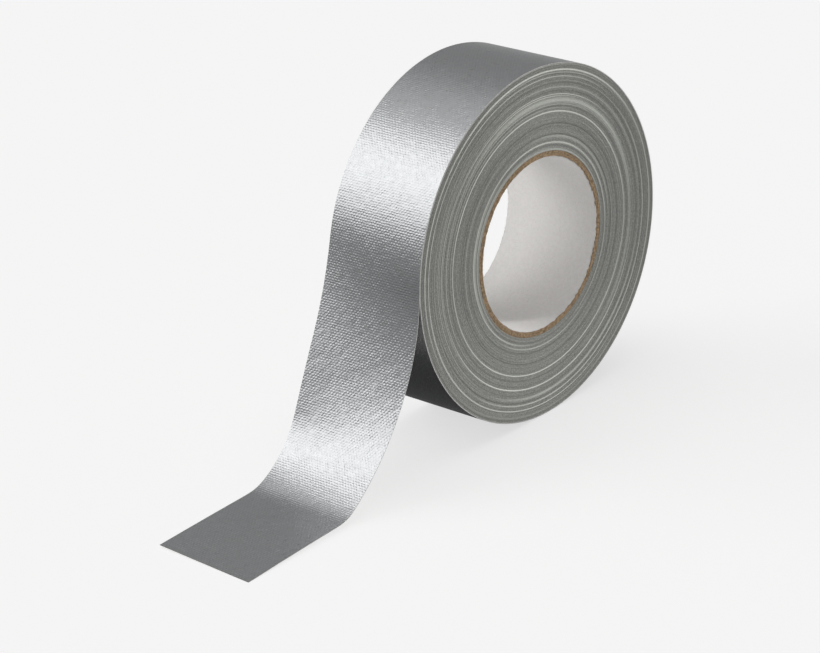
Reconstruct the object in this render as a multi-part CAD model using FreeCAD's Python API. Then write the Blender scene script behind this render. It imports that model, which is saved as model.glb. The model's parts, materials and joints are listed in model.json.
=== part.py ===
import FreeCAD, Part
import math
import os
from collections import namedtuple

# Roll of cloth duct tape standing on its rim, with a length of tape pulled off and lying on the ground.
# Frame: origin at the middle of the core's bore, +Y along the bore, +Z up; the free end runs towards -X.
# All lengths are millimetres and all angles degrees.

# Tape
TAPE_WIDTH = 50.0
TAPE_THICKNESS = 0.28
FILM_THICKNESS = 0.10       # coated polyethylene backing, the silver side
SCRIM_THICKNESS = 0.06      # woven cloth
                            # the rest of the thickness is adhesive

# Spiral-wound cardboard core
BORE_RADIUS = 38.0
LINER_THICKNESS = 0.30      # white paper that lines the bore
CORE_OUTER_RADIUS = 40.7
KRAFT_PLIES = ("core_ply_inner", "core_ply_second", "core_ply_third", "core_ply_fourth", "core_ply_outer")

# Wound tape
ROLL_RADIUS = 78.4          # outside of the outermost turn
RUNNING_CLEARANCE = 0.05    # between the wound pack and the turn that peels off it
WOUND_BANDS = 6             # the pack's turns, grouped from the core outwards

# Free end: it leaves the roll as a tangent, curves out to a heel and then lies nearly flat
PEEL_ANGLE = 170.3          # where the tape leaves the roll, from +X towards +Z
LAST_TURN_SPAN = 355.0      # how far round the roll the outermost turn is modelled
SHOULDER_LENGTH = 12.0      # from the peel line to the tail_swing line
DROP_LENGTH = 69.4          # long easy curve down
DROP_TURN = 24.5
SHOULDER_TURN = 4.2
LOWER_LENGTH = 23.5         # tighter curve above the heel
LOWER_TURN = 25.3
HEEL_LENGTH = 6.0           # the heel's own bend, with the end_lift line at its middle
HEEL_TURN = 24.4
FLAT_LENGTH = 53.5          # from the heel to the cut end
SEGMENT_GAP = 0.6           # between stretches that turn against each other

CENTRE_RADIUS = ROLL_RADIUS - TAPE_THICKNESS / 2
WOUND_OUTER_RADIUS = ROLL_RADIUS - TAPE_THICKNESS - RUNNING_CLEARANCE
SIDE_Y = -TAPE_WIDTH / 2

# Each layer lies between two offsets from the tape's mid-surface, outwards positive
LAYERS = {
    "film": (TAPE_THICKNESS / 2 - FILM_THICKNESS, TAPE_THICKNESS / 2),
    "scrim": (TAPE_THICKNESS / 2 - FILM_THICKNESS - SCRIM_THICKNESS, TAPE_THICKNESS / 2 - FILM_THICKNESS),
    "adhesive": (-TAPE_THICKNESS / 2, TAPE_THICKNESS / 2 - FILM_THICKNESS - SCRIM_THICKNESS),
}

# A place on the tape's mid-surface, seen along +Y, with the direction in which the tape runs on
Station = namedtuple("Station", "x z heading")


def sleeve(inner_radius, outer_radius):
    """Tube around the bore's axis, as wide as the tape."""
    start = FreeCAD.Vector(0, SIDE_Y, 0)
    along = FreeCAD.Vector(0, 1, 0)
    outer = Part.makeCylinder(outer_radius, TAPE_WIDTH, start, along)
    return outer.cut(Part.makeCylinder(inner_radius, TAPE_WIDTH, start, along))


def on_roll(angle):
    """Station on the outermost turn, for tape that runs towards its free end."""
    turn = math.radians(angle)
    return Station(CENTRE_RADIUS * math.cos(turn), CENTRE_RADIUS * math.sin(turn), angle + 90)


def run_on(station, length, turn=0.0):
    """Station reached after a length of tape that turns clockwise, seen along +Y, by the given angle."""
    half = math.radians(turn) / 2
    chord = length * math.sin(half) / half if half else length
    aim = math.radians(station.heading) - half
    x = station.x + chord * math.cos(aim)
    z = station.z + chord * math.sin(aim)
    return Station(x, z, station.heading - turn)


def beside(station, offset):
    """Point at an offset from the mid-surface, outwards positive."""
    heading = math.radians(station.heading)
    x = station.x + offset * math.sin(heading)
    z = station.z - offset * math.cos(heading)
    return FreeCAD.Vector(x, SIDE_Y, z)


def edge_along(stretch, offset):
    """Edge of one stretch of tape, a (start, middle, end) of stations, at an offset."""
    start, middle, end = (beside(station, offset) for station in stretch)
    if abs(stretch[0].heading - stretch[-1].heading) < 1e-6:
        return Part.LineSegment(start, end).toShape()
    return Part.Arc(start, middle, end).toShape()


def tape_layer(stretches, layer):
    """One layer of a length of tape: a thin closed solid that follows the stretches."""
    low, high = LAYERS[layer]
    ends = [Part.LineSegment(beside(station, low), beside(station, high)).toShape()
            for station in (stretches[0][0], stretches[-1][-1])]
    sides = [edge_along(stretch, offset) for offset in (low, high) for stretch in stretches]
    outline = Part.Wire(Part.__sortEdges__(sides + ends))
    return Part.Face(outline).extrude(FreeCAD.Vector(0, TAPE_WIDTH, 0))


def stretch_of(station, length, turn=0.0):
    """Stretch of tape as (start, middle, end) stations."""
    return station, run_on(station, length / 2, turn / 2), run_on(station, length, turn)


def outermost_turn():
    """Stretches of the outermost turn and of the shoulder where it leaves the roll."""
    arcs = 3
    step = LAST_TURN_SPAN / arcs
    first = PEEL_ANGLE - LAST_TURN_SPAN
    round_roll = [tuple(on_roll(first + step * (index + part)) for part in (0, 0.5, 1)) for index in range(arcs)]
    kept = 1 - SEGMENT_GAP / 2 / SHOULDER_LENGTH
    return round_roll + [stretch_of(on_roll(PEEL_ANGLE), SHOULDER_LENGTH * kept, SHOULDER_TURN * kept)]


def hanging_drop(swing_line):
    """Stretches between the tail_swing and end_lift lines, and the station of the end_lift line."""
    skipped = SEGMENT_GAP / 2 / DROP_LENGTH
    start = run_on(swing_line, DROP_LENGTH * skipped, DROP_TURN * skipped)
    upper = stretch_of(start, DROP_LENGTH * (1 - skipped), DROP_TURN * (1 - skipped))
    lower = stretch_of(upper[-1], LOWER_LENGTH, LOWER_TURN)
    kept = 0.5 - SEGMENT_GAP / 2 / HEEL_LENGTH
    heel = stretch_of(lower[-1], HEEL_LENGTH * kept, HEEL_TURN * kept)
    return [upper, lower, heel], run_on(lower[-1], HEEL_LENGTH / 2, HEEL_TURN / 2)


def flat_foot(lift_line):
    """Stretches from the end_lift line to the cut end."""
    skipped = SEGMENT_GAP / 2 / HEEL_LENGTH
    start = run_on(lift_line, HEEL_LENGTH * skipped, HEEL_TURN * skipped)
    heel = stretch_of(start, HEEL_LENGTH * (0.5 - skipped), HEEL_TURN * (0.5 - skipped))
    return [heel, stretch_of(heel[-1], FLAT_LENGTH)]


def core_nodes():
    """White liner and the kraft plies wound over it."""
    liner_outer = BORE_RADIUS + LINER_THICKNESS
    ply = (CORE_OUTER_RADIUS - liner_outer) / len(KRAFT_PLIES)
    nodes = {"core_liner": sleeve(BORE_RADIUS, liner_outer)}
    for index, name in enumerate(KRAFT_PLIES):
        nodes[name] = sleeve(liner_outer + ply * index, liner_outer + ply * (index + 1))
    return nodes


def wound_nodes():
    """Wound tape in bands of whole turns, from the core outwards."""
    band = (WOUND_OUTER_RADIUS - CORE_OUTER_RADIUS) / WOUND_BANDS
    inner = [CORE_OUTER_RADIUS + band * index for index in range(WOUND_BANDS)]
    return {"wound_tape_%d" % (index + 1): sleeve(radius, radius + band) for index, radius in enumerate(inner)}


def tape_nodes():
    """Outermost turn, hanging drop and flat foot, each as film, scrim and adhesive."""
    swing_line = run_on(on_roll(PEEL_ANGLE), SHOULDER_LENGTH, SHOULDER_TURN)
    drop, lift_line = hanging_drop(swing_line)
    lengths = {"outer_turn": outermost_turn(), "drop": drop, "foot": flat_foot(lift_line)}
    print("tail_swing line", swing_line)
    print("end_lift line", lift_line)
    print("cut end", lengths["foot"][-1][-1])
    return {"%s_%s" % (name, layer): tape_layer(stretches, layer)
            for name, stretches in lengths.items() for layer in LAYERS}


def main():
    """Write every piece to its own STEP file."""
    os.makedirs("parts", exist_ok=True)
    nodes = {**core_nodes(), **wound_nodes(), **tape_nodes()}
    for name, shape in nodes.items():
        if not shape.isValid() or len(shape.Solids) != 1:
            raise ValueError("%s isn't one valid solid" % name)
        shape.exportStep("parts/%s.step" % name)


if __name__ == "__main__":
    main()
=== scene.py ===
"""Roll of silver cloth duct tape on a cardboard core, with a length pulled off and lying on the ground.

The frame is the roll's own: the origin is the middle of the core's bore, Y runs along the bore, Z is up and
the free end runs towards -X. Lengths are metres, unless a name ends in _mm. Angles are degrees.
"""

import contextlib
import json
import logging
import math
from collections.abc import Iterator
from dataclasses import dataclass
from enum import Enum

import bpy
import numpy as np
from mathutils import Matrix, Vector, noise

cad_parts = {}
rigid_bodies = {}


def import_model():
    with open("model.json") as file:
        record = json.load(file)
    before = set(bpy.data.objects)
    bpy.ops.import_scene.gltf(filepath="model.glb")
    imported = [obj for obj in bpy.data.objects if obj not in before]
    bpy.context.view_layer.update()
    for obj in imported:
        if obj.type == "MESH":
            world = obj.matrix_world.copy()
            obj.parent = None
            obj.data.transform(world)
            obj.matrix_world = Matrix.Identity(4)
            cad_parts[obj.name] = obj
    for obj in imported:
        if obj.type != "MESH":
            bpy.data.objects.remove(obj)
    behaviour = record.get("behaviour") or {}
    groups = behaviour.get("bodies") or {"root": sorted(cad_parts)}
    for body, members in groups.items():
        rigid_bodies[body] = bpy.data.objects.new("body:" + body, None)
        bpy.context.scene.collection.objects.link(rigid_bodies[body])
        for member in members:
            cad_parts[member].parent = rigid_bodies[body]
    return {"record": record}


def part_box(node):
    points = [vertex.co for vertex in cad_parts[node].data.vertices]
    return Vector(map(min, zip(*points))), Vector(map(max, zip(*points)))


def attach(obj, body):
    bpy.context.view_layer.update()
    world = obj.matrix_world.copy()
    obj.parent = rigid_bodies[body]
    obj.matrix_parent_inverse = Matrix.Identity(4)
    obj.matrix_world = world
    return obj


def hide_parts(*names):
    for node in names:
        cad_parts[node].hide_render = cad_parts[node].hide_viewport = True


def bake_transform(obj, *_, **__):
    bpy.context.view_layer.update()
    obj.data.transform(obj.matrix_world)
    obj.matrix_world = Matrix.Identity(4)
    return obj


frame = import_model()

LOG = logging.getLogger("duct_tape_roll")
MM = 0.001
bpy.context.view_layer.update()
SEED = 5


# ---------------------------------------------------------------- sizes

@dataclass(frozen=True)
class RollSizes:
    """Sizes that every sub-assembly shares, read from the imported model."""

    half_width: float
    bore_radius: float
    liner_radius: float
    core_radius: float
    pack_radius: float
    roll_radius: float
    tape_thickness: float = 0.28 * MM

    @property
    def centre_radius(self) -> float:
        """Radius of the outermost turn's mid-surface."""
        return self.roll_radius - self.tape_thickness / 2

    @property
    def ground(self) -> float:
        """Height of the ground that the roll stands on."""
        return -self.roll_radius


def read_sizes() -> RollSizes:
    """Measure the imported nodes.

    Returns:
        The shared sizes of the roll.
    """
    bore = next(mount for mount in frame["record"]["mounts"] if mount["name"] == "core_bore")
    turn_low, turn_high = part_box("outer_turn_film")
    return RollSizes(
        half_width=turn_high[1],
        bore_radius=bore["dims"]["r_mm"] * MM,
        liner_radius=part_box("core_liner")[1][0],
        core_radius=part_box("core_ply_outer")[1][0],
        pack_radius=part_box("wound_tape_6")[1][0],
        roll_radius=-turn_low[2],
    )


# ---------------------------------------------------------------- bench work

@contextlib.contextmanager
def editing(piece: bpy.types.Object) -> Iterator[None]:
    """Work on one piece in edit mode, with all of it selected.

    Args:
        piece: The mesh to edit.
    """
    bpy.ops.object.select_all(action="DESELECT")
    piece.select_set(True)
    bpy.context.view_layer.objects.active = piece
    bpy.ops.object.mode_set(mode="EDIT")
    bpy.ops.mesh.select_all(action="SELECT")
    yield
    bpy.ops.object.mode_set(mode="OBJECT")


def apply_modifier(piece: bpy.types.Object, kind: str, **settings: object) -> None:
    """Add one modifier to a piece and apply it.

    Args:
        piece: The mesh to change.
        kind: Blender's name for the modifier type.
        settings: Values of the modifier's properties.
    """
    bpy.ops.object.select_all(action="DESELECT")
    piece.select_set(True)
    bpy.context.view_layer.objects.active = piece
    modifier = piece.modifiers.new(kind.lower(), kind)
    for key, value in settings.items():
        setattr(modifier, key, value)
    bpy.ops.object.modifier_apply(modifier=modifier.name)


def smooth(piece: bpy.types.Object, crease: float) -> None:
    """Shade a piece smooth, except across edges sharper than the crease angle.

    Args:
        piece: The mesh to shade.
        crease: Angle in degrees.
    """
    bpy.ops.object.select_all(action="DESELECT")
    piece.select_set(True)
    bpy.context.view_layer.objects.active = piece
    bpy.ops.object.shade_smooth_by_angle(angle=math.radians(crease))


def corners_of(piece: bpy.types.Object) -> np.ndarray:
    """Read a mesh's vertices as an array of one row each."""
    places = np.empty(len(piece.data.vertices) * 3)
    piece.data.vertices.foreach_get("co", places)
    return places.reshape(-1, 3)


def place_corners(piece: bpy.types.Object, places: np.ndarray) -> None:
    """Move a mesh's vertices to new places, one row each."""
    piece.data.vertices.foreach_set("co", places.astype(np.float32).ravel())
    piece.data.update()


def copy_of(piece: bpy.types.Object, name: str) -> bpy.types.Object:
    """Copy a piece with its own mesh.

    Args:
        piece: The piece to copy.
        name: Name of the copy.

    Returns:
        The new piece.
    """
    twin = piece.copy()
    twin.data = piece.data.copy()
    twin.name = twin.data.name = name
    bpy.context.collection.objects.link(twin)
    return twin


def flat_sheet(name: str, length: float, width: float, along: float, across: float) -> bpy.types.Object:
    """Make a flat grid, lengthwise along X and centred on the origin.

    Args:
        name: Name of the piece.
        length: Size along X.
        width: Size along Y.
        along: Length of one cell.
        across: Width of one cell.

    Returns:
        The new piece.
    """
    bpy.ops.object.select_all(action="DESELECT")
    cells = round(length / along), round(width / across)
    bpy.ops.mesh.primitive_grid_add(x_subdivisions=cells[0], y_subdivisions=cells[1], size=1)
    piece = bpy.context.active_object
    piece.name = piece.data.name = name
    bpy.ops.transform.resize(value=(length, width, 1))
    bpy.ops.object.transform_apply(location=False, rotation=False, scale=True)
    return piece


def turned_ring(name: str, profile: np.ndarray, steps: int) -> bpy.types.Object:
    """Turn a closed profile round the bore's axis.

    Args:
        name: Name of the piece.
        profile: Rows of radius and place along the axis, in order round the section.
        steps: Number of facets round the axis.

    Returns:
        The new piece, closed, with its faces outwards.
    """
    bpy.ops.object.select_all(action="DESELECT")
    bpy.ops.mesh.primitive_circle_add(vertices=len(profile), radius=1, fill_type="NOTHING")
    piece = bpy.context.active_object
    piece.name = piece.data.name = name
    place_corners(piece, np.stack([profile[:, 0], profile[:, 1], np.zeros(len(profile))], 1))
    with editing(piece):
        bpy.ops.mesh.spin(steps=steps, angle=2 * math.pi, center=(0, 0, 0), axis=(0, 1, 0))
        bpy.ops.mesh.select_all(action="SELECT")
        bpy.ops.mesh.remove_doubles(threshold=0.002 * MM)
        bpy.ops.mesh.normals_make_consistent(inside=False)
    return piece


# ---------------------------------------------------------------- finishes

class Shader:
    """A material's nodes, while they are being put together."""

    def __init__(self, name: str) -> None:
        """Start a material with one Principled shader."""
        self.material = bpy.data.materials.new(name)
        self.material.use_nodes = True
        self.tree = self.material.node_tree
        self.surface = self.tree.nodes["Principled BSDF"]

    def node(
        self, kind: str, links: dict[str | int, object] | None = None, **settings: object
    ) -> bpy.types.Node:
        """Add a node.

        Args:
            kind: Type of the node, without its ShaderNode prefix.
            links: Value or socket for each input.
            settings: Values of the node's properties.

        Returns:
            The new node.
        """
        made = self.tree.nodes.new("ShaderNode" + kind)
        for key, value in settings.items():
            setattr(made, key, value)
        for key, value in (links or {}).items():
            self.feed(made.inputs[key], value)
        return made

    def feed(self, socket: bpy.types.NodeSocket, value: object) -> None:
        """Link a socket to another one, or set its value."""
        if isinstance(value, bpy.types.NodeSocket):
            self.tree.links.new(value, socket)
        else:
            socket.default_value = value

    def math(self, operation: str, *values: object) -> bpy.types.NodeSocket:
        """Work out one number with a Math node."""
        return self.node("Math", dict(enumerate(values)), operation=operation).outputs[0]

    def total(self, *values: object) -> bpy.types.NodeSocket:
        """Add numbers up."""
        result = values[0]
        for value in values[1:]:
            result = self.math("ADD", result, value)
        return result

    def span(
        self, value: object, low: float, high: float, to_low: float, to_high: float
    ) -> bpy.types.NodeSocket:
        """Map a number from one range to another, and hold it inside."""
        inputs = {"Value": value, "From Min": low, "From Max": high, "To Min": to_low, "To Max": to_high}
        return self.node("MapRange", inputs).outputs["Result"]

    def speckle(
        self, place: object, scale: float, detail: float = 2.0, rough: float = 0.5
    ) -> bpy.types.NodeSocket:
        """Noise between 0 and 1 at a place."""
        inputs = {"Vector": place, "Scale": scale, "Detail": detail, "Roughness": rough}
        return self.node("TexNoise", inputs).outputs["Fac"]

    def wave(self, place: object, per_mm: float) -> bpy.types.NodeSocket:
        """Cosine of a place in millimetres, with so many waves per millimetre."""
        return self.math("COSINE", self.math("MULTIPLY", place, 2 * math.pi * per_mm))

    def mix(self, share: object, first: object, second: object) -> bpy.types.NodeSocket:
        """Blend two colours."""
        made = self.node("Mix", {"Factor": share}, data_type="RGBA")
        self.feed(made.inputs[6], first)
        self.feed(made.inputs[7], second)
        return made.outputs[2]

    def emboss(self, height: object, depth: float) -> None:
        """Raise the surface by a height from -1 to 1 times a depth in metres."""
        bump = self.node("Bump", {"Height": height, "Distance": depth, "Strength": 1.0})
        self.tree.links.new(bump.outputs["Normal"], self.surface.inputs["Normal"])

    def set(self, **values: object) -> None:
        """Set the Principled shader's own sockets, with _ for a space."""
        for key, value in values.items():
            self.feed(self.surface.inputs[key.replace("_", " ")], value)


def grey(value: float, warmth: float = 0.0) -> tuple[float, float, float, float]:
    """A near-neutral colour, warmer with a positive warmth."""
    return (value * (1 + warmth), value, value * (1 - warmth), 1.0)


@dataclass(frozen=True)
class Cloth:
    """Plain weave that shows through the film and the adhesive."""

    yarns_across: float = 0.656     # waves per millimetre; a yarn over and the next under make one
    yarns_along: float = 0.465
    wander_mm: float = 0.22

    def relief(self, shader: Shader) -> tuple[bpy.types.NodeSocket, bpy.types.NodeSocket]:
        """Height of the weave on a piece that carries its flat place in tape_mm.

        Args:
            shader: Material under construction.

        Returns:
            The height from about -1 to 1, and the flat place in millimetres.
        """
        flat = shader.node("Attribute", attribute_name="tape_mm").outputs["Vector"]
        parts = shader.node("SeparateXYZ", {"Vector": flat})
        drift = shader.math("SUBTRACT", shader.speckle(flat, 0.45), 0.5)
        other = shader.math("SUBTRACT", shader.speckle(flat, 0.31, 1.0), 0.5)
        along = shader.total(parts.outputs["X"], shader.math("MULTIPLY", drift, 3 * self.wander_mm))
        across = shader.total(parts.outputs["Y"], shader.math("MULTIPLY", other, 2 * self.wander_mm))
        weft = shader.wave(across, self.yarns_across)
        checks = shader.math("MULTIPLY", weft, shader.wave(along, self.yarns_along))
        ribs = shader.math("MULTIPLY", shader.wave(along, 2 * self.yarns_along), 0.45)
        weave = shader.total(shader.math("MULTIPLY", checks, 0.6), ribs)
        patchy = shader.span(shader.speckle(flat, 0.16, 3.0), 0.3, 0.7, 0.45, 0.95)
        grain = shader.math("MULTIPLY", shader.math("SUBTRACT", shader.speckle(flat, 1.1, 1.0), 0.5), 1.4)
        dimples = shader.math("MULTIPLY", shader.math("SUBTRACT", shader.speckle(flat, 0.42, 2.0), 0.5), 2.2)
        return shader.total(shader.math("MULTIPLY", weave, patchy), grain, dimples), flat


@dataclass(frozen=True)
class SilverFilm:
    """Aluminium-filled polyethylene film, pressed into the cloth under it."""

    tone: float = 0.62
    roughness: float = 0.30
    roughness_sway: float = 0.03
    emboss_depth: float = 0.048 * MM
    cloth: Cloth = Cloth()

    def material(self) -> bpy.types.Material:
        """Build the finish."""
        shader = Shader("silver_film")
        height, flat = self.cloth.relief(shader)
        scuff = shader.speckle(flat, 0.09, 4.0, 0.6)
        scuffed, clean = grey(self.tone * 0.95, -0.01), grey(self.tone, -0.02)
        tone = shader.mix(shader.span(scuff, 0.3, 0.7, 0.0, 1.0), scuffed, clean)
        # Painted shade: the film's colour is darkened in the weave's hollows, where the height is low.
        tone = shader.mix(shader.span(height, 0.6, -1.0, 0.0, 1.0), tone, grey(self.tone * 0.86, -0.02))
        smooth_side, rough_side = self.roughness - self.roughness_sway, self.roughness + self.roughness_sway
        rough = shader.span(shader.speckle(flat, 0.35, 3.0), 0.3, 0.7, smooth_side, rough_side)
        shader.set(Base_Color=tone, Metallic=1.0, Roughness=rough)
        shader.emboss(height, self.emboss_depth)
        return shader.material


@dataclass(frozen=True)
class WovenCloth:
    """Bleached cotton and polyester cloth, seen at the slit edges."""

    tone: float = 0.68
    emboss_depth: float = 0.02 * MM

    def material(self) -> bpy.types.Material:
        """Build the finish."""
        shader = Shader("cloth_scrim")
        height, flat = Cloth().relief(shader)
        # Painted shade: the cloth is darker in the weave's hollows and lighter on the yarns.
        hollow_shade, yarns = grey(self.tone * 0.7, 0.03), grey(self.tone, 0.02)
        tone = shader.mix(shader.span(height, -1.0, 1.0, 0.0, 1.0), hollow_shade, yarns)
        shader.set(Base_Color=tone, Roughness=0.9)
        shader.emboss(height, self.emboss_depth)
        return shader.material


@dataclass(frozen=True)
class TackyAdhesive:
    """Pale natural-rubber adhesive over the cloth's relief, with painted shade in the weave's hollows."""

    tone: float = 0.60
    roughness: float = 0.38
    emboss_depth: float = 0.012 * MM

    def material(self) -> bpy.types.Material:
        """Build the finish."""
        shader = Shader("rubber_adhesive")
        height, flat = Cloth().relief(shader)
        # Painted shade: the adhesive is darker over the weave's hollows.
        hollow_shade, yarns = grey(self.tone * 0.8, 0.02), grey(self.tone, 0.03)
        weave = shader.mix(shader.span(height, -0.8, 1.0, 0.0, 1.0), hollow_shade, yarns)
        smear = shader.span(shader.speckle(flat, 0.12, 3.0), 0.35, 0.65, 0.0, 0.4)
        tone = shader.mix(smear, weave, grey(self.tone * 1.15, 0.02))
        shader.set(Base_Color=tone, Roughness=self.roughness)
        shader.emboss(height, self.emboss_depth)
        return shader.material


@dataclass(frozen=True)
class PaleRing:
    """A turn whose adhesive has spread over the slit edge, on part of its way round."""

    radius_mm: float
    width_mm: float
    strength: float
    middle: float           # angle from +X towards +Z where it is palest
    reach: float            # angle to either side over which it fades


PALE_RINGS = (
    PaleRing(44.2, 0.55, 0.9, 95, 100), PaleRing(44.1, 0.6, 0.6, -155, 60),
    PaleRing(44.1, 0.6, 0.4, -10, 60), PaleRing(41.3, 0.9, 0.35, 100, 120),
    PaleRing(45.8, 0.4, 0.6, -92, 45), PaleRing(46.9, 0.8, 0.4, 50, 55),
    PaleRing(50.9, 0.5, 0.2, -60, 90), PaleRing(57.4, 0.45, 1.0, -100, 85),
    PaleRing(57.5, 0.5, 0.95, 110, 110), PaleRing(57.8, 0.7, 0.45, -5, 60),
    PaleRing(59.0, 0.35, 0.45, 120, 70), PaleRing(60.4, 0.35, 0.4, 110, 70),
    PaleRing(62.2, 1.7, 0.5, 72, 70), PaleRing(61.6, 1.0, 0.3, -10, 60),
    PaleRing(63.7, 0.4, 1.0, -90, 80), PaleRing(64.0, 0.3, 0.8, 105, 50),
    PaleRing(64.8, 0.3, 0.8, 82, 45), PaleRing(65.9, 0.5, 0.3, 150, 60),
    PaleRing(68.0, 0.9, 0.5, -70, 55), PaleRing(67.8, 0.5, 0.3, 60, 60),
    PaleRing(70.8, 0.4, 0.9, -80, 60), PaleRing(71.0, 0.6, 0.35, -5, 50),
    PaleRing(72.4, 0.35, 0.7, 95, 50), PaleRing(73.1, 0.4, 1.0, -112, 75),
    PaleRing(74.0, 0.3, 0.5, 80, 40), PaleRing(75.2, 0.55, 1.0, 78, 60),
    PaleRing(74.9, 0.45, 0.9, 150, 60), PaleRing(72.6, 0.4, 0.6, 170, 60),
    PaleRing(69.3, 0.3, 0.45, 165, 55), PaleRing(66.9, 0.3, 0.45, 175, 60),
    PaleRing(64.6, 0.35, 0.5, 170, 55), PaleRing(61.9, 0.3, 0.45, 165, 60),
    PaleRing(49.5, 0.4, 0.3, 170, 60), PaleRing(43.3, 0.7, 0.6, 170, 50),
    PaleRing(42.0, 0.4, 0.5, 165, 60), PaleRing(75.7, 0.6, 0.55, -15, 60),
    PaleRing(76.1, 0.45, 0.5, -110, 60), PaleRing(77.5, 0.35, 0.5, 120, 90),
)
# Radii of the dark rings: painted shade of the gaps between turns.
GROOVE_SHADE_RINGS_MM = (42.9, 47.7, 52.3, 59.8, 66.2, 69.6, 73.6, 76.2, 77.0)


@dataclass(frozen=True)
class SlitEdges:
    """Side of the wound pack: slit edges of film, cloth and adhesive, with a sheen across them."""

    tone: float = 0.232
    pale_tone: float = 0.66
    turn_mm: float = 0.28
    thread_mm: float = 1.08
    emboss_depth: float = 0.05 * MM

    def olive(self, value: float) -> tuple[float, float, float, float]:
        """The grey of the filled adhesive, a touch green."""
        return (value * 0.985, value, value * 0.925, 1.0)

    def material(self) -> bpy.types.Material:
        """Build the finish."""
        shader = Shader("slit_edges")
        place = shader.node("TexCoord").outputs["Object"]
        parts = shader.node("SeparateXYZ", {"Vector": place})
        x, z = parts.outputs["X"], parts.outputs["Z"]
        squares = shader.total(shader.math("MULTIPLY", x, x), shader.math("MULTIPLY", z, z))
        radius = shader.math("MULTIPLY", shader.math("SQRT", squares), 1 / MM)
        angle = shader.math("ARCTAN2", z, x)
        wander = shader.math("SUBTRACT", shader.speckle(place, 16.0, 2.0), 0.5)
        shifted = shader.total(radius, shader.math("MULTIPLY", wander, 0.6))
        turn = shader.math("FLOOR", shader.math("DIVIDE", shifted, self.turn_mm))
        each_turn = shader.node("TexWhiteNoise", {"W": turn}, noise_dimensions="1D").outputs["Value"]
        slow = shader.node("TexNoise", {"W": shifted, "Scale": 0.7, "Detail": 4.0, "Roughness": 0.65},
                           noise_dimensions="1D").outputs["Fac"]
        threads = self.threads(shader, angle, radius, turn)
        dust = shader.span(shader.speckle(place, 1400.0, 2.0, 0.6), 0.35, 0.65, 0.0, 1.0)
        darker, lighter = self.olive(self.tone * 0.88), self.olive(self.tone * 1.12)
        tone = shader.mix(shader.span(slow, 0.35, 0.68, 0.0, 1.0), darker, lighter)
        tone = shader.mix(shader.math("MULTIPLY", each_turn, 0.16), tone, self.olive(self.pale_tone * 0.8))
        tone = shader.mix(shader.math("MULTIPLY", threads, 0.34), tone, self.olive(self.pale_tone * 0.8))
        tone = shader.mix(shader.math("MULTIPLY", dust, 0.45), tone, self.olive(self.tone * 0.5))
        tone = shader.mix(self.rings(shader, shifted, angle), tone, self.olive(self.pale_tone))
        # Painted shade: dark rings where the gaps between turns fall in shade.
        tone = shader.mix(self.groove_shade(shader, shifted), tone, self.olive(self.tone * 0.5))
        outwards = shader.node("CombineXYZ", {"X": x, "Z": z}).outputs["Vector"]
        turned = shader.node(
            "VectorTransform", {"Vector": outwards},
            vector_type="VECTOR", convert_from="OBJECT", convert_to="WORLD",
        ).outputs["Vector"]
        shader.set(Base_Color=tone, Roughness=0.5, Anisotropic=0.85, Tangent=turned)
        relief = shader.total(threads, shader.math("MULTIPLY", each_turn, 0.8), dust)
        shader.emboss(relief, self.emboss_depth)
        return shader.material

    def rings(self, shader: Shader, radius: object, angle: object) -> bpy.types.NodeSocket:
        """How pale the rings make a place, from 0 to 1."""
        shares = []
        for ring in PALE_RINGS:
            bell = self.bell(shader, radius, ring.radius_mm, ring.width_mm, ring.strength)
            away = shader.math("COSINE", shader.math("SUBTRACT", angle, math.radians(ring.middle)))
            gone, full = math.cos(math.radians(ring.reach)), math.cos(math.radians(0.35 * ring.reach))
            faded = shader.span(away, gone, full, 0.0, 1.0)
            shares.append(shader.math("MULTIPLY", bell, faded))
        return shader.math("MINIMUM", shader.total(*shares), 1.0)

    def groove_shade(self, shader: Shader, radius: object) -> bpy.types.NodeSocket:
        """Painted shade of the gaps between turns: how dark it makes a radius, from 0 to 1."""
        return shader.total(*[self.bell(shader, radius, middle, 0.6, 0.4) for middle in GROOVE_SHADE_RINGS_MM])

    def bell(
        self, shader: Shader, radius: object, centre: float, width: float, height: float
    ) -> bpy.types.NodeSocket:
        """A soft step up and down again round one radius."""
        away = shader.math("ABSOLUTE", shader.math("SUBTRACT", radius, centre))
        inputs = {"Value": away, "From Min": width, "From Max": 0.1 * width, "To Max": height}
        return shader.node("MapRange", inputs, interpolation_type="SMOOTHSTEP").outputs["Result"]

    def threads(self, shader: Shader, angle: object, radius: object, turn: object) -> bpy.types.NodeSocket:
        """Cut ends of the cloth's cross yarns, out of step from turn to turn."""
        step = shader.math("DIVIDE", shader.math("MULTIPLY", angle, radius), self.thread_mm)
        shifted = shader.math("MULTIPLY", turn, 7.31)
        stepped = shader.node("CombineXYZ", {"X": step, "Y": shifted}).outputs["Vector"]
        spots = shader.speckle(stepped, 1.4, 1.0)
        return shader.span(spots, 0.42, 0.66, 0.0, 1.0)


@dataclass(frozen=True)
class KraftBoard:
    """Brown board, rough where it was sawn."""

    tone: tuple[float, float, float] = (0.29, 0.205, 0.125)

    def material(self) -> bpy.types.Material:
        """Build the finish."""
        shader = Shader("kraft_board")
        place = shader.node("TexCoord").outputs["Object"]
        fibres = shader.speckle(place, 900.0, 3.0, 0.7)
        blotch = shader.speckle(place, 160.0, 3.0)
        dark = tuple(0.42 * part for part in self.tone) + (1.0,)
        light = tuple(1.2 * part for part in self.tone) + (1.0,)
        tone = shader.mix(shader.span(fibres, 0.3, 0.62, 0.0, 1.0), dark, light)
        tone = shader.mix(shader.span(blotch, 0.4, 0.7, 0.0, 0.45), tone, self.tone + (1.0,))
        shader.set(Base_Color=tone, Roughness=0.92)
        shader.emboss(shader.total(fibres, blotch), 0.12 * MM)
        return shader.material


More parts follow.
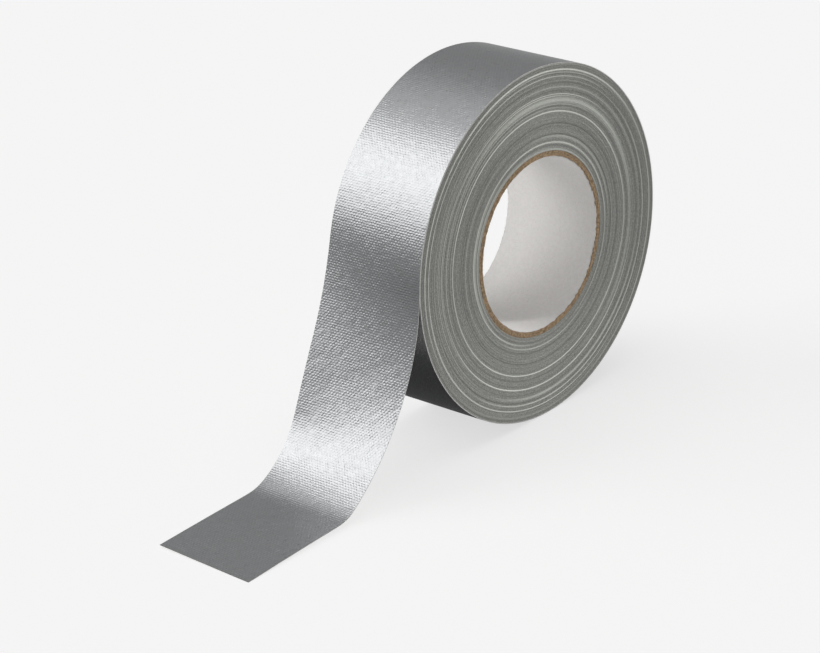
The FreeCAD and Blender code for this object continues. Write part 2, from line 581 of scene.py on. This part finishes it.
@dataclass(frozen=True)
class LinerPaper:
    """White board paper that lines the bore."""

    tone: float = 0.655

    def material(self) -> bpy.types.Material:
        """Build the finish."""
        shader = Shader("liner_paper")
        place = shader.node("TexCoord").outputs["Object"]
        pulp = shader.speckle(place, 700.0, 3.0, 0.65)
        cloud = shader.speckle(place, 90.0, 3.0)
        fleck = shader.span(shader.speckle(place, 1500.0, 1.0), 0.66, 0.72, 0.0, 0.35)
        shaded, plain = grey(self.tone * 0.9, 0.026), grey(self.tone, 0.018)
        tone = shader.mix(shader.span(pulp, 0.3, 0.7, 0.0, 1.0), shaded, plain)
        tone = shader.mix(shader.span(cloud, 0.4, 0.7, 0.0, 0.3), tone, shaded)
        tone = shader.mix(fleck, tone, grey(self.tone * 0.62, 0.05))
        shader.set(Base_Color=tone, Roughness=0.85)
        shader.emboss(pulp, 0.03 * MM)
        return shader.material


# ---------------------------------------------------------------- tape

@dataclass(frozen=True)
class Bend:
    """A stretch of the free end and how far it turns towards lying flat."""

    length_mm: float
    turn: float


@dataclass(frozen=True)
class EdgeRun:
    """Run of one edge of the free end: the angle where it leaves the roll, and its bends down to the cut."""

    leaves_at: float
    bends: tuple[Bend, ...]


class Layer(Enum):
    """Layers of the tape: record slot, then middle (outwards from the mid-surface) and thickness in mm."""

    FILM = ("silver_film", 0.09, 0.10)
    SCRIM = ("cloth_scrim", 0.01, 0.06)
    ADHESIVE = ("rubber_adhesive", -0.08, 0.12)

    def __init__(self, slot: str, middle_mm: float, thickness_mm: float) -> None:
        """Keep the layer's record slot and where it lies."""
        self.slot = slot
        self.middle = middle_mm * MM
        self.thickness = thickness_mm * MM


@dataclass
class TapeStrip:
    """The outermost turn and the free end, as one strip of tape that twists a little on its way down.

    A place along the tape is counted from the peel line, where it leaves the roll: negative round the roll,
    positive down the free end.
    """

    sizes: RollSizes
    peel_angle: float = 170.3
    near_edge: EdgeRun = EdgeRun(175.3, (
        Bend(38.0, 21.6),       # shoulder
        Bend(60.0, 30.2),       # slope
        Bend(5.8, 32.4),        # heel
        Bend(54.9, -1.6),       # foot
    ))
    far_edge: EdgeRun = EdgeRun(166.4, (
        Bend(30.8, 9.8),        # shoulder
        Bend(12.8, 3.1),
        Bend(31.8, -2.3),       # nearly straight slope
        Bend(33.1, 40.6),       # lower curve
        Bend(7.1, 23.7),        # heel
        Bend(52.7, -0.9),       # foot
    ))
    easing_mm: float = 8.0
    sample_mm: float = 0.25
    seam_angle: float = -5.0        # where the two pieces of the turn meet, behind the roll
    last_angle: float = -183.5      # where the outermost turn is cut off under the free end
    middle_seam_mm: float = 56.0    # where the two pieces of the free end meet
    free_mm: float = 164.4
    wrinkle: float = 0.09 * MM

    def along(self, angle: float) -> float:
        """Place along the tape of an angle on the roll."""
        return math.radians(angle - self.peel_angle) * self.sizes.centre_radius

    def trace(self, run: EdgeRun) -> tuple[np.ndarray, np.ndarray, np.ndarray]:
        """Work out an edge's line, with its changes of curvature eased.

        Args:
            run: The edge's run.

        Returns:
            Places along the tape, and the X and Z of each.
        """
        step = self.sample_mm * MM
        lead_in = 30 * MM
        count = round((self.free_mm * MM + 2 * lead_in) / step)
        places = -lead_in + step * np.arange(count)
        curvature = np.full(count, 1 / self.sizes.centre_radius)
        start = self.along(run.leaves_at)
        for bend in run.bends:
            curvature[places >= start] = -math.radians(bend.turn) / (bend.length_mm * MM)
            start += bend.length_mm * MM
        window = np.hanning(round(2 * self.easing_mm / self.sample_mm) + 1)
        padded = np.pad(curvature, len(window) // 2, mode="edge")
        eased = np.convolve(padded, window / window.sum(), mode="valid")
        first = math.radians(self.peel_angle) - lead_in / self.sizes.centre_radius
        heading = first + math.pi / 2 + np.concatenate([[0], np.cumsum((eased[1:] + eased[:-1]) / 2 * step)])
        middle = (heading[1:] + heading[:-1]) / 2
        radius = self.sizes.centre_radius
        x = radius * math.cos(first) + np.concatenate([[0], np.cumsum(np.cos(middle) * step)])
        z = radius * math.sin(first) + np.concatenate([[0], np.cumsum(np.sin(middle) * step)])
        return places, x, z

    def on_edge(self, run: EdgeRun, places: np.ndarray, line: int) -> np.ndarray:
        """Look places up on one edge, whose own length is shared out over the free end.

        Args:
            run: The edge's run.
            places: Places along the tape.
            line: 1 for X or 2 for Z.

        Returns:
            One coordinate of each place.
        """
        edge = self.trace(run)
        own_length = self.along(run.leaves_at) + MM * sum(bend.length_mm for bend in run.bends)
        stretched = np.where(places > 0, places * own_length / (self.free_mm * MM), places)
        return np.interp(stretched, edge[0], edge[line])

    def lay(self, places: np.ndarray, across: np.ndarray) -> np.ndarray:
        """Put flat places of the strip where they lie.

        Args:
            places: Places along the tape.
            across: Places across it, from -half_width at the near edge.

        Returns:
            Rows of X, Y and Z.
        """
        share = (across + self.sizes.half_width) / (2 * self.sizes.half_width)
        turn = math.radians(self.peel_angle) + places / self.sizes.centre_radius
        x = self.sizes.centre_radius * np.cos(turn)
        z = self.sizes.centre_radius * np.sin(turn)
        free = places > -25 * MM
        for axis, line in ((x, 1), (z, 2)):
            near, far = (self.on_edge(run, places[free], line) for run in (self.near_edge, self.far_edge))
            axis[free] = near * (1 - share[free]) + far * share[free]
        return np.stack([x, across, z], 1)

    def wrinkles(self, places: np.ndarray, across: np.ndarray) -> np.ndarray:
        """Height of the small wrinkles: hardly any where the tape is wound tight, more on the free end."""
        heights = np.empty(len(places))
        for index, (place, side) in enumerate(zip(places / MM, across / MM)):
            wide = noise.noise(Vector((place / 9.0, side / 13.0, SEED)))
            fine = noise.noise(Vector((place / 3.6, side / 4.8, SEED + 3.0)))
            heights[index] = 0.65 * wide + 0.35 * fine
        free = np.clip((places / MM - 18) / 25, 0.06, 1.0)
        resting = np.clip((places / MM - 108) / 15, 0, 1)
        return self.wrinkle * heights * free * (1 - 0.6 * resting)

    def length_of_tape(self, name: str, start: float, end: float, cell: float) -> bpy.types.Object:
        """Cut a flat length of tape and lay it in place, as a mid-surface with its outside outwards.

        Args:
            name: Name of the piece.
            start: First place along the tape.
            end: Last place along the tape.
            cell: Size of a grid cell.

        Returns:
            The mid-surface, which carries its flat place in the attribute tape_mm.
        """
        piece = flat_sheet(name, end - start, 2 * self.sizes.half_width, cell, cell)
        flat = corners_of(piece)
        places = flat[:, 0] + (start + end) / 2
        kept = piece.data.attributes.new("tape_mm", "FLOAT_VECTOR", "POINT")
        unrolled = np.stack([places, flat[:, 1], 0 * places], 1).astype(np.float32)
        kept.data.foreach_set("vector", unrolled.ravel() / MM)
        laid = self.lay(places, flat[:, 1])
        ahead = self.lay(places + 0.05 * MM, flat[:, 1]) - laid
        outwards = np.stack([ahead[:, 2], 0 * places, -ahead[:, 0]], 1)
        outwards /= np.linalg.norm(outwards, axis=1)[:, None]
        place_corners(piece, laid + outwards * self.wrinkles(places, flat[:, 1])[:, None])
        with editing(piece):
            bpy.ops.mesh.flip_normals()
        return piece

    def layers(self, name: str, start: float, end: float, cell: float) -> dict[Layer, bpy.types.Object]:
        """Make film, scrim and adhesive of one length of tape.

        Args:
            name: First word of the pieces' names.
            start: First place along the tape.
            end: Last place along the tape.
            cell: Size of a grid cell.

        Returns:
            A closed thin piece for each layer.
        """
        surface = self.length_of_tape(name, start, end, cell)
        made = {}
        for layer in Layer:
            piece = copy_of(surface, "%s_%s" % (name, layer.slot))
            with editing(piece):
                bpy.ops.transform.shrink_fatten(value=layer.middle)
            apply_modifier(piece, "SOLIDIFY", thickness=layer.thickness, offset=0.0, use_even_offset=True)
            smooth(piece, 40)
            made[layer] = piece
        bpy.data.objects.remove(surface)
        return made

    def middle_of(self, place_mm: float) -> tuple[float, float, float]:
        """Point on the tape's centre line."""
        return tuple(float(part) for part in self.lay(np.array([place_mm * MM]), np.array([0.0]))[0])

    def build(self, finishes: dict[Layer, bpy.types.Material]) -> None:
        """Make the strip's pieces and dress them, and tie the outermost turn's pieces to the frame.

        Args:
            finishes: Material of each layer.
        """
        seam = self.along(self.seam_angle)
        middle = self.middle_seam_mm * MM
        turn = self.layers("turn", self.along(self.last_angle), seam, 1.5 * MM)
        peel = self.layers("peel", seam, middle, 1.0 * MM)
        tail = self.layers("tail", middle, self.free_mm * MM, 1.0 * MM)
        for layer in Layer:
            for piece in (turn[layer], peel[layer], tail[layer]):
                piece.data.materials.append(finishes[layer])
                LOG.info("%s: %d faces", piece.name, len(piece.data.polygons))
            word = layer.name.lower()
            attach(turn[layer], "lead")
            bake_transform(peel[layer], "lead", "drop", start=self.middle_of(8), end=self.middle_of(30))
            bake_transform(tail[layer], "drop", "foot", start=self.middle_of(95), end=self.middle_of(121))
            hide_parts("outer_turn_" + word)
            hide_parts("outer_turn_" + word, "drop_" + word)
            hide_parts("drop_" + word, "foot_" + word)


# ---------------------------------------------------------------- wound pack

@dataclass
class WoundPack:
    """The turns under the outermost one, in the frame's bands, each turn with its own slit edge."""

    sizes: RollSizes
    bands: int = 6
    facets: int = 180
    turn: float = 0.28 * MM
    groove: float = 0.07 * MM       # how far the gap between two turns goes in
    stagger: float = 0.10 * MM      # how far single turns stand back
    sway: float = 0.16 * MM         # how far whole groups of turns stand back

    def side_profile(self, inner: float, outer: float, draws: np.random.Generator) -> np.ndarray:
        """Section of one side of a band.

        Args:
            inner: Inner radius.
            outer: Outer radius.
            draws: Source of the small differences between turns.

        Returns:
            Rows of radius and depth under the side's plane, from the inside out.
        """
        turns = round((outer - inner) / self.turn)
        edges = np.linspace(inner, outer, turns + 1)
        depths = self.stagger * draws.random(turns) ** 2
        rows = []
        for low, high, depth in zip(edges[:-1], edges[1:], depths):
            wall = high - low
            rows += [
                (low + 0.04 * wall, depth + self.groove),
                (low + 0.30 * wall, depth),
                (low + 0.82 * wall, depth),
            ]
        rows.append((outer, depths[-1] + self.groove))
        return np.array(rows)

    def sway_at(self, places: np.ndarray) -> np.ndarray:
        """How far groups of turns stand back at each place, wandering slowly round the roll."""
        radius = np.hypot(places[:, 0], places[:, 2]) / MM
        turned = np.arctan2(places[:, 2], places[:, 0])
        side = np.sign(places[:, 1])
        lean = sum(np.sin(radius * rate + phase + side + reach * np.cos(turned + phase))
                   for rate, phase, reach in ((0.9, 0.4, 0.8), (2.3, 1.9, 0.6), (5.1, 4.2, 0.9)))
        return self.sway * (lean / 3 + 1) / 2

    def band(self, index: int, material: bpy.types.Material) -> None:
        """Make one band, dress it and tie it to the frame.

        Args:
            index: Number of the band, from 1 at the core.
            material: Its finish.
        """
        draws = np.random.default_rng(SEED + index)
        step = (self.sizes.pack_radius - self.sizes.core_radius) / self.bands
        inner = self.sizes.core_radius + step * (index - 1)
        near, far = (self.side_profile(inner, inner + step, draws) for _ in range(2))
        near_rows = np.stack([near[:, 0], near[:, 1] - self.sizes.half_width], 1)
        far_rows = np.stack([far[::-1, 0], self.sizes.half_width - far[::-1, 1]], 1)
        piece = turned_ring("wound_band_%d" % index, np.concatenate([near_rows, far_rows]), self.facets)
        places = corners_of(piece)
        places[:, 1] -= np.sign(places[:, 1]) * self.sway_at(places)
        place_corners(piece, places)
        smooth(piece, 50)
        piece.data.materials.append(material)
        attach(piece, "roll")
        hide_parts("wound_tape_%d" % index)
        LOG.info("%s: %d faces", piece.name, len(piece.data.polygons))

    def build(self, finish: SlitEdges) -> None:
        """Make every band."""
        material = finish.material()
        for index in range(1, self.bands + 1):
            self.band(index, material)


# ---------------------------------------------------------------- core

@dataclass
class Core:
    """Cardboard core: kraft plies, sawn a little ragged, and the white paper that lines them."""

    sizes: RollSizes
    plies: tuple[str, ...] = ("inner", "second", "third", "fourth", "outer")
    facets: int = 360
    rounding: float = 0.08 * MM
    ragged: float = 0.22 * MM
    set_backs_mm: tuple[float, ...] = (0.10, 0.02, 0.12, 0.05, 0.16)    # of the plies' ends
    liner_set_back: float = 0.12 * MM
    liner_wear: float = 3.4         # how many times more ragged the liner's ends are than the plies'

    def ply(self, name: str, inner: float, outer: float, set_back: float, rough: float) -> bpy.types.Object:
        """Make one sleeve with worn ends.

        Args:
            name: Name of the piece.
            inner: Inner radius.
            outer: Outer radius.
            set_back: How far its ends stand inside the tape's sides.
            rough: How ragged its ends are.

        Returns:
            The new piece.
        """
        end = self.sizes.half_width - set_back
        soft = min(self.rounding, (outer - inner) / 3)
        rows = [
            (inner, -end + 6 * soft), (inner, -end + soft), (inner + soft, -end),
            ((inner + outer) / 2, -end),
            (outer - soft, -end), (outer, -end + soft), (outer, -end + 6 * soft),
        ]
        profile = np.array(rows + [(radius, -place) for radius, place in reversed(rows)])
        piece = turned_ring(name, profile, self.facets)
        places = corners_of(piece)
        turned = np.arctan2(places[:, 2], places[:, 0])
        near_end = np.abs(places[:, 1]) > end - 5 * soft
        for index in np.flatnonzero(near_end):
            along = outer / MM + places[index, 1] / MM
            where = Vector((math.cos(turned[index]), math.sin(turned[index]), along))
            chips = noise.noise(where * 23.0) + 0.6 * noise.noise(where * 61.0)
            places[index, 1] -= math.copysign(rough * max(0.0, 0.35 + chips), places[index, 1])
        place_corners(piece, places)
        smooth(piece, 60)
        return piece

    def build_plies(self, material: bpy.types.Material) -> None:
        """Make the kraft plies."""
        step = (self.sizes.core_radius - self.sizes.liner_radius) / len(self.plies)
        for index, (word, set_back) in enumerate(zip(self.plies, self.set_backs_mm)):
            inner = self.sizes.liner_radius + step * index
            piece = self.ply("kraft_ply_" + word, inner, inner + step, set_back * MM, self.ragged)
            piece.data.materials.append(material)
            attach(piece, "roll")
            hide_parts("core_ply_" + word)
            LOG.info("%s: %d faces", piece.name, len(piece.data.polygons))

    def build_liner(self, material: bpy.types.Material) -> None:
        """Make the liner."""
        inner, outer = self.sizes.bore_radius, self.sizes.liner_radius
        piece = self.ply("bore_liner", inner, outer, self.liner_set_back, self.liner_wear * self.ragged)
        piece.data.materials.append(material)
        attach(piece, "roll")
        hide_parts("core_liner")
        LOG.info("%s: %d faces", piece.name, len(piece.data.polygons))

    def build(self, board: KraftBoard, paper: LinerPaper) -> None:
        """Make the whole core."""
        self.build_plies(board.material())
        self.build_liner(paper.material())


# ---------------------------------------------------------------- studio

@dataclass(frozen=True)
class SoftDisc:
    """A round soft light in the sky."""

    name: str
    azimuth: float          # from +X towards +Y
    elevation: float
    across: float           # diameter, as an angle
    brightness: float
    fill: bool = False      # whether it only reaches matt pieces


@dataclass
class Studio:
    """Pale ground that glows a little, as a light table does, soft light and the camera."""

    sizes: RollSizes
    ground_half: float = 12.0
    ground_gap: float = 0.05 * MM   # below the roll
    ground_tone: float = 0.42
    ground_glow: float = 0.645
    room: float = 0.345             # even light from above the horizon
    room_below: float = 0.055       # and from below it
    far_ground: float = 0.9         # how much brighter, as a share, the ground beyond the roll looks
    backdrop: float = 0.92
    discs: tuple[SoftDisc, ...] = (
        SoftDisc("window_light", 127, 31, 46, 1.20),
        SoftDisc("window_glow", 105, 46, 62, 0.20),
        SoftDisc("overhead_light", 0, 90, 54, 1.0),
        SoftDisc("side_light", -27, 17, 9, 135.0, fill=True),
        SoftDisc("left_light", 157, 13, 26, 7.4, fill=True),
    )
    matt_finishes: tuple[str, ...] = (
        "slit_edges", "kraft_board", "liner_paper", "cloth_scrim", "rubber_adhesive",
    )
    azimuth: float = -47.33
    elevation: float = 23.70
    tilt: float = -3.62
    distance: float = 1.253
    lens: float = 131.3
    aim: tuple[float, float, float] = (-0.0580, 0.0, -0.02265)

    def build_ground(self) -> None:
        """Lay the pale ground; mirror-like reflections pass it by, as they do a cut-out backdrop."""
        bpy.ops.object.select_all(action="DESELECT")
        level = self.sizes.ground - self.ground_gap
        bpy.ops.mesh.primitive_plane_add(size=2 * self.ground_half, location=(0, 0, level))
        ground = bpy.context.active_object
        ground.name = "ground"
        bpy.ops.object.transform_apply(location=True)
        shader = Shader("pale_ground")
        shader.set(Base_Color=grey(self.ground_tone), Roughness=1.0, Specular_IOR_Level=0.0)
        shader.set(Emission_Color=grey(1.0), Emission_Strength=self.ground_glow)
        ground.data.materials.append(shader.material)
        ground.visible_glossy = False

    def build_room(self) -> None:
        """Fill the room with even light, darker below the horizon, and a pale backdrop behind the object."""
        world = bpy.data.worlds.new("room")
        bpy.context.scene.world = world
        world.use_nodes = True
        nodes, links = world.node_tree.nodes, world.node_tree.links
        nodes.clear()
        kinds = (
            "OutputWorld", "LightPath", "TexCoord", "SeparateXYZ", "Math", "Math",
            "Background", "Background", "MixShader",
        )
        output, seen, direction, parts, share, level, room, backdrop, mixed = (
            nodes.new("ShaderNode" + kind) for kind in kinds
        )
        links.new(direction.outputs["Generated"], parts.inputs[0])
        height = self.ramp(nodes, links, parts.outputs["Z"], (-0.60, -0.18), (self.room_below, self.room))
        low = self.ramp(nodes, links, parts.outputs["Z"], (0.05, -0.20), (0.0, self.far_ground))
        ahead = self.ramp(nodes, links, parts.outputs["X"], (0.1, 0.6), (0.0, 1.0))
        share.operation, level.operation = "MULTIPLY", "MULTIPLY_ADD"
        for index, socket in enumerate((low, ahead)):
            links.new(socket, share.inputs[index])
        for index, socket in enumerate((share.outputs[0], height, height)):
            links.new(socket, level.inputs[index])
        links.new(level.outputs[0], room.inputs["Strength"])
        backdrop.inputs["Strength"].default_value = self.backdrop
        links.new(seen.outputs["Is Camera Ray"], mixed.inputs[0])
        links.new(room.outputs[0], mixed.inputs[1])
        links.new(backdrop.outputs[0], mixed.inputs[2])
        links.new(mixed.outputs[0], output.inputs["Surface"])

    def ramp(self, nodes: bpy.types.Nodes, links: bpy.types.NodeLinks, value: bpy.types.NodeSocket,
             span: tuple[float, float], levels: tuple[float, float]) -> bpy.types.NodeSocket:
        """Map one part of the direction to a level of light.

        Args:
            nodes: The world's nodes.
            links: The world's links.
            value: The part of the direction.
            span: Its range.
            levels: The levels at the ends of the range.

        Returns:
            The level.
        """
        made = nodes.new("ShaderNodeMapRange")
        for key, setting in zip(("From Min", "From Max", "To Min", "To Max"), span + levels):
            made.inputs[key].default_value = setting
        links.new(value, made.inputs["Value"])
        return made.outputs["Result"]

    def build_lights(self) -> None:
        """Hang the soft lights."""
        for disc in self.discs:
            lamp = bpy.data.lights.new(disc.name, "SUN")
            lamp.angle = math.radians(disc.across)
            solid_angle = 2 * math.pi * (1 - math.cos(math.radians(disc.across) / 2))
            lamp.energy = disc.brightness * solid_angle
            light = bpy.data.objects.new(disc.name, lamp)
            turn, lift = math.radians(disc.azimuth), math.radians(disc.elevation)
            level = math.cos(lift)
            towards = Vector((level * math.cos(turn), level * math.sin(turn), math.sin(lift)))
            light.rotation_euler = towards.to_track_quat("Z", "Y").to_euler()
            bpy.context.collection.objects.link(light)

    def aim_fill_lights(self) -> None:
        """Let the fill lights reach the matt pieces only, and so neither the ground nor the film."""
        matt = bpy.data.collections.new("matt_pieces")
        for piece in bpy.context.scene.objects:
            if piece.type != "MESH" or not piece.active_material:
                continue
            if piece.active_material.name.partition(".")[0] in self.matt_finishes:
                matt.objects.link(piece)
        for disc in self.discs:
            if disc.fill:
                light = bpy.data.objects[disc.name]
                light.visible_glossy = False
                light.light_linking.receiver_collection = matt

    def build_camera(self) -> None:
        """Set the camera."""
        data = bpy.data.cameras.new("camera")
        data.sensor_width = 36.0
        data.lens = self.lens
        data.clip_end = 100.0
        camera = bpy.data.objects.new("camera", data)
        turn, lift, roll = (math.radians(angle) for angle in (self.azimuth, self.elevation, self.tilt))
        back = Vector((math.sin(turn) * math.cos(lift), -math.cos(turn) * math.cos(lift), math.sin(lift)))
        level = Vector((math.cos(turn), math.sin(turn), 0))
        upright = back.cross(level)
        right = level * math.cos(roll) + upright * math.sin(roll)
        top = upright * math.cos(roll) - level * math.sin(roll)
        camera.matrix_world = Matrix.Translation(Vector(self.aim) + back * self.distance) @ Matrix(
            (right, top, back)).transposed().to_4x4()
        bpy.context.collection.objects.link(camera)
        bpy.context.scene.camera = camera

    def build(self) -> None:
        """Make the whole studio."""
        self.build_camera()
        self.build_ground()
        self.build_room()
        self.build_lights()
        bpy.context.scene.view_settings.view_transform = "Standard"


def main() -> None:
    """Build the studio, the core, the wound pack and the tape, in that order."""
    logging.basicConfig(level=logging.INFO, format="%(name)s %(message)s")
    sizes = read_sizes()
    studio = Studio(sizes)
    studio.build()
    Core(sizes).build(KraftBoard(), LinerPaper())
    WoundPack(sizes).build(SlitEdges())
    finishes = {
        Layer.FILM: SilverFilm().material(),
        Layer.SCRIM: WovenCloth().material(),
        Layer.ADHESIVE: TackyAdhesive().material(),
    }
    TapeStrip(sizes).build(finishes)
    studio.aim_fill_lights()


if __name__ == "__main__":
    main()
